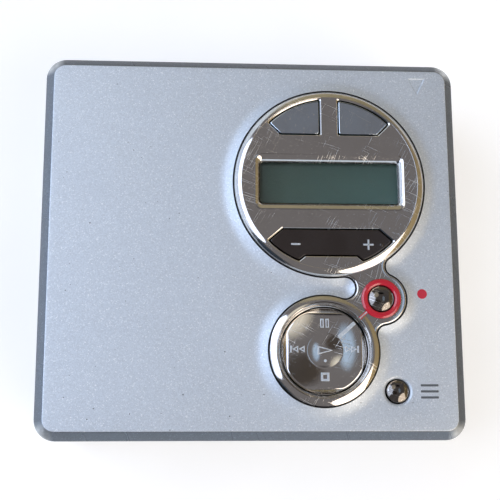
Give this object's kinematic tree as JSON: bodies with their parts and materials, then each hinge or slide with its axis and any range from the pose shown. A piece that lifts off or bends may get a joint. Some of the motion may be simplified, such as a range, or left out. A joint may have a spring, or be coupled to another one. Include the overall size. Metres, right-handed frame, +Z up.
{
  "type": "portable minidisc recorder",
  "caption": "Pocket disc recorder with a bevelled silver lid that lifts to take a disc cartridge, a mirror plate with display and keys, and a battery bay underneath.",
  "frame": {"origin": "centre of the underside of the case", "axes": "+X to the right side with the sockets, +Y to the edge where the disc goes in, +Z up out of the lid"},
  "size_m": [0.081, 0.0744, 0.0279],
  "materials": {
    "lid_paint": "satin",
    "band_paint": "satin",
    "case_plastic": "fine texture",
    "plate_chrome": "mirror",
    "dark_chrome": "mirror",
    "key_gloss": "gloss",
    "red_gloss": "gloss",
    "window": "clear",
    "lcd": "gloss",
    "board": "satin",
    "black_plastic": "satin",
    "grey_plastic": "satin",
    "steel": "brushed",
    "sheet_metal": "rolled",
    "screw_steel": "bright",
    "rubber": "matt",
    "brass": "bright",
    "nylon": "satin",
    "lens_glass": "coated"
  },
  "bodies": {
    "base": {"bottom_case": "case_plastic", "mid_frame": "band_paint", "case_screws": "screw_steel", "hinge_pins": "steel", "deck_plate": "sheet_metal", "deck_dampers": "rubber", "deck_screws": "screw_steel", "main_board": "board", "board_chips": "black_plastic", "phones_jack": "black_plastic", "line_jack": "grey_plastic", "dc_inlet": "black_plastic", "battery_tray": "grey_plastic", "cell_spring": "steel", "cell_contact": "brass", "spindle_motor": "sheet_metal", "shaft_brackets": "sheet_metal", "guide_shaft": "steel", "sled_motor": "sheet_metal"},
    "lid": {"top_panel": "lid_paint", "display_plate": "plate_chrome", "lcd_window": "window", "lcd_module": "lcd", "key_board": "board", "key_domes": "steel", "board_screws": "screw_steel", "disc_holder": "sheet_metal", "holder_screws": "screw_steel", "rocker_rod": "steel", "rec_ring": "red_gloss"},
    "left_key": {"left_key": "dark_chrome"},
    "right_key": {"right_key": "dark_chrome"},
    "volume_key": {"volume_key": "key_gloss"},
    "rec_button": {"rec_button": "dark_chrome"},
    "menu_button": {"menu_button": "plate_chrome"},
    "control_stem": {"control_stem": "nylon"},
    "control_gimbal": {"control_gimbal": "nylon"},
    "control_cap": {"control_cap": "plate_chrome"},
    "turntable": {"turntable": "steel"},
    "pickup": {"pickup_sled": "grey_plastic", "objective_lens": "lens_glass", "arm_pivot": "steel"},
    "head_arm": {"head_arm": "steel", "write_head": "black_plastic"},
    "lead_screw": {"lead_screw": "brass", "screw_gear": "nylon"},
    "pinion": {"motor_pinion": "brass"},
    "battery_door": {"battery_door": "case_plastic"},
    "open_slider": {"open_slider": "band_paint", "latch_bar": "steel"},
    "hold_slider": {"hold_slider": "band_paint"}
  },
  "joints": [
    {"name": "lid_hinge", "type": "hinge", "parent": "base", "child": "lid", "pos_m": [0, -0.0346, 0.0185], "axis": [1, 0, 0], "range_deg": [0, 25]},
    {"name": "left_key_press", "type": "slide", "parent": "lid", "child": "left_key", "axis": [0, 0, -1], "range_m": [0, 0.00035], "stiffness_N_per_m": 400},
    {"name": "right_key_press", "type": "slide", "parent": "lid", "child": "right_key", "axis": [0, 0, -1], "range_m": [0, 0.00035], "stiffness_N_per_m": 400},
    {"name": "rec_press", "type": "slide", "parent": "lid", "child": "rec_button", "axis": [0, 0, -1], "range_m": [0, 0.00035], "stiffness_N_per_m": 400},
    {"name": "menu_press", "type": "slide", "parent": "lid", "child": "menu_button", "axis": [0, 0, -1], "range_m": [0, 0.00035], "stiffness_N_per_m": 400},
    {"name": "control_press", "type": "slide", "parent": "lid", "child": "control_stem", "axis": [0, 0, -1], "range_m": [0, 0.00035], "stiffness_N_per_m": 400},
    {"name": "volume_rock", "type": "hinge", "parent": "lid", "child": "volume_key", "pos_m": [0.015, 0, 0.0249], "axis": [0, 1, 0], "range_deg": [-2, 2], "stiffness_Nm_per_rad": 0.03},
    {"name": "control_tilt_y", "type": "hinge", "parent": "control_stem", "child": "control_gimbal", "pos_m": [0.01346, -0.0206, 0.0255], "axis": [0, 1, 0], "range_deg": [-3, 3], "stiffness_Nm_per_rad": 0.02},
    {"name": "control_tilt_x", "type": "hinge", "parent": "control_gimbal", "child": "control_cap", "pos_m": [0.01346, -0.0206, 0.0255], "axis": [1, 0, 0], "range_deg": [-3, 3], "stiffness_Nm_per_rad": 0.02},
    {"name": "spindle_spin", "type": "hinge", "parent": "base", "child": "turntable", "pos_m": [0, 0.0017, 0.017], "axis": [0, 0, 1], "continuous": true},
    {"name": "pickup_slide", "type": "slide", "parent": "base", "child": "pickup", "axis": [-1, 0, 0], "range_m": [0, 0.0155]},
    {"name": "head_arm_lift", "type": "hinge", "parent": "pickup", "child": "head_arm", "pos_m": [-0.015, -0.0346, 0.0185], "axis": [1, 0, 0], "range_deg": [0, 25]},
    {"name": "lead_screw_spin", "type": "hinge", "parent": "base", "child": "lead_screw", "pos_m": [-0.02, 0.0135, 0.0105], "axis": [1, 0, 0], "range_deg": [0, 1860]},
    {"name": "pinion_spin", "type": "hinge", "parent": "base", "child": "pinion", "pos_m": [0.009, 0.00928, 0.00806], "axis": [1, 0, 0], "range_deg": [-4030, 0]},
    {"name": "battery_door_hinge", "type": "hinge", "parent": "base", "child": "battery_door", "pos_m": [0, 0.0192, 0.0007], "axis": [-1, 0, 0], "range_deg": [0, 100]},
    {"name": "open_slide", "type": "slide", "parent": "base", "child": "open_slider", "axis": [0, -1, 0], "range_m": [0, 0.003], "stiffness_N_per_m": 200},
    {"name": "hold_slide", "type": "slide", "parent": "base", "child": "hold_slider", "axis": [0, 1, 0], "range_m": [0, 0.002]}
  ],
  "couplings": [
    {"joint": "head_arm_lift", "follows": "lid_hinge", "ratio": 1},
    {"joint": "lead_screw_spin", "follows": "pickup_slide", "rad_per_m": 2094.4},
    {"joint": "pinion_spin", "follows": "pickup_slide", "rad_per_m": -4537.9}
  ]
}
